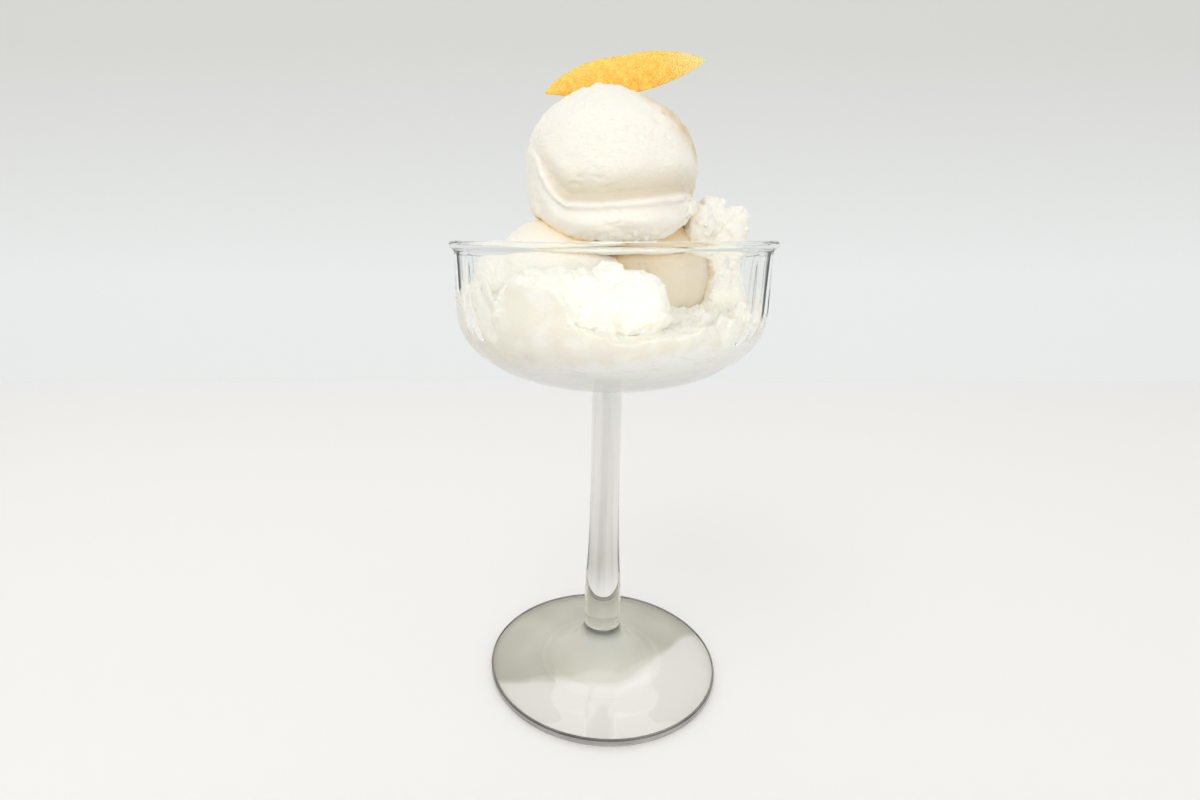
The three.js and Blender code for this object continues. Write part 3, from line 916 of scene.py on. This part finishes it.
def shade_under_top(p, depth):
    """1 where the top scoop lies on a piece, fading within about this depth: where shade is painted
    under it.
    """
    return np.exp(-np.maximum(top_scoop(p), 0) / depth)


def shade_in_groove(p):
    """1 just above the top scoop's fold, fading upwards, and none where the fold climbs: painted shade
    in the groove.
    """
    q = p - TOP_CENTRE
    azimuth = azimuth_of(q)
    above = np.degrees(np.arctan2(q[:, 2], np.hypot(q[:, 0], q[:, 1]))) - fold_at(azimuth)
    return smoothstep(above, -0.5, 2) * (1 - smoothstep(above, 2, 22)) * (1 - climb(azimuth))


for key, (piece, vertices) in sorbets.items():
    gap = to_neighbour(key, vertices)
    # Painted warm shade in the cracks between scoops.
    crack_shade = CRACK_SHADE_STRENGTH[key] * np.exp(-gap / 1.6)
    syrup_and_shade = np.full(len(gap), SYRUP_AND_SHADE_AMOUNT[key])
    height = vertices[:, 2]
    uneven = ripple(vertices, 16, 8.1)
    pits = 0.25 * smoothstep(uneven, 0, 0.6)
    if key == "top":
        # Painted shade in the groove above the fold, and the painted shade on the right shoulder.
        syrup_and_shade += 0.55 * shade_in_groove(vertices) + 1.2 * shoulder_shade(vertices)
        crack_shade += 0.42 * shoulder_shade(vertices)
        pits = smoothstep(height, 174, 179) * (1 - smoothstep(height + 3 * uneven, 187, 195))
    if key == "right":
        # Painted shade where the top scoop lies over the right scoop.
        crack_shade += 0.8 * shade_under_top(vertices, 9)
    if key == "left":
        # Painted shade where the top scoop lies over the left scoop.
        crack_shade = np.maximum(crack_shade, 0.5 * shade_under_top(vertices, 5))
    paint(piece, "pits", pits)
    paint(piece, "crack_shade", crack_shade)
    paint(piece, "syrup_and_shade", syrup_and_shade)
    paint(piece, "wet", 1 - smoothstep(-past_wall(vertices), 0.05, 0.6))
    # Low in the bowl, the painted reflection of the glass's thick bottom, below a wavy edge.
    edge = np.interp(azimuth_of(vertices), *np.array(REFLECTION_EDGE).T) + 0.8 * ripple(vertices, 9, 1.2)
    paint(piece, "painted_reflection_mask", 1 - smoothstep(height - edge, -1.6, 1.6))
    print(key, "cracks", np.mean(crack_shade > 0.1).round(2), "soaked_and_shaded", np.mean(syrup_and_shade > 0.3).round(2))

# %% [markdown]
# ## The finish of sorbet
#
# Sorbet is fine ice crystals in syrup: white, a little warm, and lit from inside. A Principled
# shader with subsurface scattering gives that glow, and the radius is largest for red because red
# light travels furthest. A crystal-fine bump breaks up the gloss. The colours are laid over each
# other from the inside out: white ice, painted shade in its pits, the darker warm tan of syrup tint
# and painted shade, the warm orange of painted shade in the cracks, and last what the glass shows,
# grey wet ice with snow in it, and below that a painted reflection of the glass's thick bottom:
# grey, with painted highlights drawn out in level streaks and dark thin lines.

# %% Frozen, finely crystalline
sorbet, net = new_material("sorbet_white")
where = net.node("ShaderNodeTexCoord", {}, {}, out=3)
wet = painted(net, "wet")
patches = noise(net, where, 90.0, 3.0)
white = mixed(net, patches, (0.92, 0.90, 0.82, 1), (0.955, 0.94, 0.88, 1))
flat_on = net.node("ShaderNodeMapping", {}, {"Vector": where, "Scale": (1.0, 1.0, 2.6)})
pits_and_pit_shade = ((noise(net, flat_on, 760.0, 4.0, 0.6) - 0.52) * 6).limited() * painted(net, "pits")
# Painted shade in the pits: there the colour darkens a little towards tan.
pitted = mixed(net, pits_and_pit_shade * 0.16, white, (0.80, 0.73, 0.60, 1))
# Syrup tint and painted shade, a darker warm tan.
soaked_and_shaded = mixed(net, painted(net, "syrup_and_shade"), pitted, (0.64, 0.54, 0.37, 1))
# Painted warm shade in the cracks, an orange.
crack_shaded = mixed(net, painted(net, "crack_shade") ** 1.3, soaked_and_shaded, (0.97, 0.69, 0.33, 1))
snow = ((noise(net, where, 160.0, 4.0) - 0.45) * 5).limited()
grey_ice = mixed(net, snow, (0.88, 0.84, 0.74, 1), (0.955, 0.93, 0.86, 1))
pressed = mixed(net, wet * 0.7, crack_shaded, grey_ice)
# Low in the bowl: a painted reflection of the glass's thick bottom, grey, with painted highlights in
# level white streaks and dark thin lines.
drawn = net.node("ShaderNodeMapping", {}, {"Vector": where, "Scale": (1.0, 1.0, 7.0)})
streaks = ((noise(net, drawn, 45.0, 3.0) - 0.56) * 9).limited()
reflected_threads = (1 - abs_of(noise(net, drawn, 55.0, 4.0) - 0.5) * 45).limited() * (1 - streaks)
streaked_reflection = mixed(net, streaks, (0.96, 0.96, 0.93, 1), (1.0, 1.0, 1.0, 1))
reflection_colour = mixed(net, reflected_threads * 0.25, streaked_reflection, (0.70, 0.68, 0.63, 1))
colour = mixed(net, painted(net, "painted_reflection_mask") * wet, pressed, reflection_colour)
crystals = noise(net, where, 2400.0, 2.0) + noise(net, where, 900.0, 2.0)
rough = crystals - pits_and_pit_shade * 0.8
relief = net.node("ShaderNodeBump", {}, {"Strength": 0.4, "Distance": 0.0005, "Height": rough})
finish_with(
    net,
    sorbet,
    {
        "Base Color": colour,
        "Roughness": 0.55 - 0.2 * wet + 0.1 * patches,
        "Subsurface Weight": 0.3,
        "Subsurface Radius": (0.0007, 0.0005, 0.0003),
        "Subsurface Scale": 1.0,
        "IOR": 1.35,
        "Normal": relief,
    },
)
for piece, _ in sorbets.values():
    piece.data.materials.append(sorbet)

# %% [markdown]
# ## The orange peel
#
# A pointed strip cut from the outside of an orange, standing on its long edge in the top of the
# scoop. It still has some of the fruit's roundness both ways. The solid model bends a flat strip,
# and this piece bends a finer one in the same way. Its vertices keep whether they are on the zest
# or on the white pith, and how far along and across the strip they lie, for the material to read.

# %% Bending the strip
PEEL_LENGTH, PEEL_WIDTH, PEEL_ARCH, PEEL_THICKNESS = 51.7, 11, 3.4, 2
PEEL_CENTRE = np.array([4.3, 4.6, 210.3])
PEEL_ALONG, PEEL_ACROSS = 170, 30
slope = math.radians(12)
lengthways = np.array([math.cos(slope), 0, math.sin(slope)])
upwards = np.array([-math.sin(slope), math.tan(slope), math.cos(slope)])
inwards = np.array([0, 1, 0])


def peel_point(u, v, side):
    """u from tip to tip and v across it, both from -1 to 1; side is -0.5 on the zest."""
    sharper = smoothstep(u, 0, 0.6)
    low_tip = smoothstep(-u, 0.5, 0.95)
    power = 0.72 + 0.16 * sharper + 0.23 * low_tip
    taper = np.maximum(0, 1 - np.abs(u) ** (2.4 - 0.3 * sharper)) ** power
    along = u * PEEL_LENGTH / 2
    lift = PEEL_ARCH * np.maximum(0, -u) * (1 - u * u) + 1.3 * smoothstep(-u, 0.6, 1)
    across = lift + v * (PEEL_WIDTH / 2 * taper + 0.3)
    thickness = PEEL_THICKNESS * (0.45 + 0.55 * taper) * (1 - 0.25 * v * v)
    bend = along**2 / 124 + across**2 / 68
    return (
        PEEL_CENTRE
        + along[:, None] * lengthways
        + across[:, None] * upwards
        + (bend + side * thickness)[:, None] * inwards
    )


def peel_mesh():
    """A closed strip: its section is a ring of points, swept from tip to tip."""
    zest = [(v, -0.5) for v in np.linspace(-1, 1, PEEL_ACROSS)]
    half = zest + [(1.0, side) for side in (-0.3, -0.1, 0.1, 0.3)]
    ring = np.array([*half, *[(-v, -side) for v, side in half]])
    stations = -np.cos(np.linspace(0, math.pi, PEEL_ALONG))
    stations = 0.5 * stations + 0.5 * np.linspace(-1, 1, PEEL_ALONG)
    count = len(ring)
    rows = [peel_point(np.full(count, u), ring[:, 0], ring[:, 1]) for u in stations]
    vertices = np.concatenate(rows)
    faces = []
    for i in range(len(stations) - 1):
        for j in range(count):
            k = (j + 1) % count
            faces.append((i * count + j, i * count + k, (i + 1) * count + k, (i + 1) * count + j))
    faces.append(tuple(range(count))[::-1])
    faces.append(tuple(range((len(stations) - 1) * count, len(stations) * count)))
    zest_side = np.tile((ring[:, 1] < -0.2).astype(float), len(stations))
    along = np.repeat((stations + 1) / 2, count)
    across = np.tile((ring[:, 0] + 1) / 2, len(stations))
    return vertices, faces, {"zest_side": zest_side, "along": along, "across": across}


peel_vertices, peel_faces, peel_amounts = peel_mesh()
peel = make_piece("peel_slice", peel_vertices, peel_faces)
for name, amounts in peel_amounts.items():
    paint(peel, name, amounts)
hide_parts("orange_peel")
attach(peel, "root")

# %% Zest and pith
zest, net = new_material("zest_and_pith")
where = net.node("ShaderNodeTexCoord", {}, {}, out=3)
outside_face = painted(net, "zest_side")
tip = painted(net, "along")
dimples = net.node("ShaderNodeTexVoronoi", {}, {"Vector": where, "Scale": 1150.0})
pores = ((0.75 - dimples) * 1.6).limited()
freckles = ((noise(net, where, 520.0, 3.0, 0.6) - 0.35) * 3).limited()
height = (painted(net, "across") + (freckles - 0.5) * 0.25).limited()
ripe = mixed(net, height, (1.0, 0.40, 0.005, 1), (1.0, 0.64, 0.11, 1))
orange = mixed(net, freckles * 0.7, ripe, (1.0, 0.74, 0.14, 1))
specked = mixed(net, (pores ** 3) * 0.45, orange, (1.0, 0.85, 0.27, 1))
# Painted light: the right tip is lighter and yellower.
tip_painted_light = mixed(net, ((tip - 0.72) * 3.5).limited(), specked, (1.0, 0.80, 0.28, 1))
fibres = noise(net, where, 260.0, 3.0)
pith = mixed(net, fibres, (0.95, 0.84, 0.58, 1), (0.98, 0.94, 0.80, 1))
colour = mixed(net, outside_face, pith, tip_painted_light)
rough = pores * outside_face + fibres * (1 - outside_face) * 0.5
relief = net.node("ShaderNodeBump", {}, {"Strength": 0.9, "Distance": 0.0004, "Height": rough})
finish_with(
    net,
    zest,
    {
        "Base Color": colour,
        "Roughness": 0.34 + 0.14 * freckles + (1 - outside_face) * 0.3,
        "Subsurface Weight": 0.15,
        "Subsurface Radius": (0.0008, 0.0004, 0.0002),
        "Subsurface Scale": 1.0,
        "Normal": relief,
    },
)
peel.data.materials.append(zest)

# %% [markdown]
# ## The studio
#
# A plain pale floor, a plain backdrop and soft light. Glass shows nothing of its own, only what it
# bends and mirrors, so the backdrop glows by itself, darker towards its top, and the air round the
# rest of the room is a little darker low down. A broad lamp in front fills the shadows, a smaller
# one from the upper left gives the scoops their shape, and a long strip in front of the backdrop
# shines forwards and down on them and on the floor.

# %% Floor and backdrop
FLOOR = -0.0002
BACK = 0.483
SIDE = 1.6
FRONT = -1.2
TOP = 1.1


def slab(name, corners):
    mesh = bpy.data.meshes.new(name)
    mesh.from_pydata(corners, [], [tuple(range(len(corners)))])
    stage = bpy.data.objects.new(name, mesh)
    bpy.context.scene.collection.objects.link(stage)
    return stage


far_edge = [(SIDE, BACK, FLOOR), (-SIDE, BACK, FLOOR)]
floor = slab("floor", [(-SIDE, FRONT, FLOOR), (SIDE, FRONT, FLOOR), *far_edge])
pale, net = new_material("pale_floor")
finish_with(net, pale, {"Base Color": (0.94, 0.925, 0.905, 1), "Roughness": 0.6})
floor.data.materials.append(pale)

backdrop = slab("backdrop", [*far_edge[::-1], (SIDE, BACK, TOP), (-SIDE, BACK, TOP)])
paper, net = new_material("backdrop_paper")
where = net.node("ShaderNodeTexCoord", {}, {}, out=3)
high = net.node("ShaderNodeSeparateXYZ", {}, {"Vector": where}, out=2)
grey = mixed(net, ((high - 0.12) / 0.23).limited(), (0.61, 0.63, 0.63, 1), (0.47, 0.475, 0.45, 1))
glow = {"Emission Color": grey, "Emission Strength": 1.0}
finish_with(net, paper, {"Base Color": (0.2, 0.2, 0.2, 1), "Roughness": 0.9, **glow})
backdrop.data.materials.append(paper)

# %% Lights
def soft_light(name, place, aim, size, power, colour):
    lamp = bpy.data.lights.new(name, "AREA")
    lamp.shape = "RECTANGLE"
    lamp.size, lamp.size_y = size
    lamp.energy = power
    lamp.color = colour
    holder = bpy.data.objects.new(name, lamp)
    bpy.context.scene.collection.objects.link(holder)
    holder.location = place
    toward = np.array(aim) - np.array(place)
    holder.rotation_euler = (
        math.acos(-toward[2] / np.linalg.norm(toward)),
        0,
        math.atan2(-toward[0], toward[1]),
    )
    return holder


soft_light("key", (-0.35, -0.50, 0.88), (0, 0, 0.15), (0.6, 0.6), 1.45, (1.0, 0.985, 0.96))
soft_light("fill", (0.1, -1.1, 0.30), (0, 0, 0.12), (1.6, 0.7), 4.7, (1.0, 0.985, 0.955))
soft_light("strip", (0, 0.395, 0.55), (0, 0.034, 0.379), (2.0, 0.164), 1.2, (1.0, 1.0, 1.0))

world = bpy.data.worlds.new("studio")
bpy.context.scene.world = world
world.use_nodes = True
world.node_tree.nodes.clear()
net = Wire(world.node_tree)
direction = net.node("ShaderNodeTexCoord", {}, {}, out=0)
height = net.node("ShaderNodeSeparateXYZ", {}, {"Vector": direction}, out=2)
sky = mixed(net, ((height - 0.02) * 6.0).limited(), (0.70, 0.68, 0.65, 1), (0.74, 0.74, 0.74, 1))
air = net.node("ShaderNodeBackground", {}, {"Color": sky, "Strength": 1.0})
net.node("ShaderNodeOutputWorld", {}, {"Surface": air})
bpy.context.scene.view_settings.view_transform = "Standard"
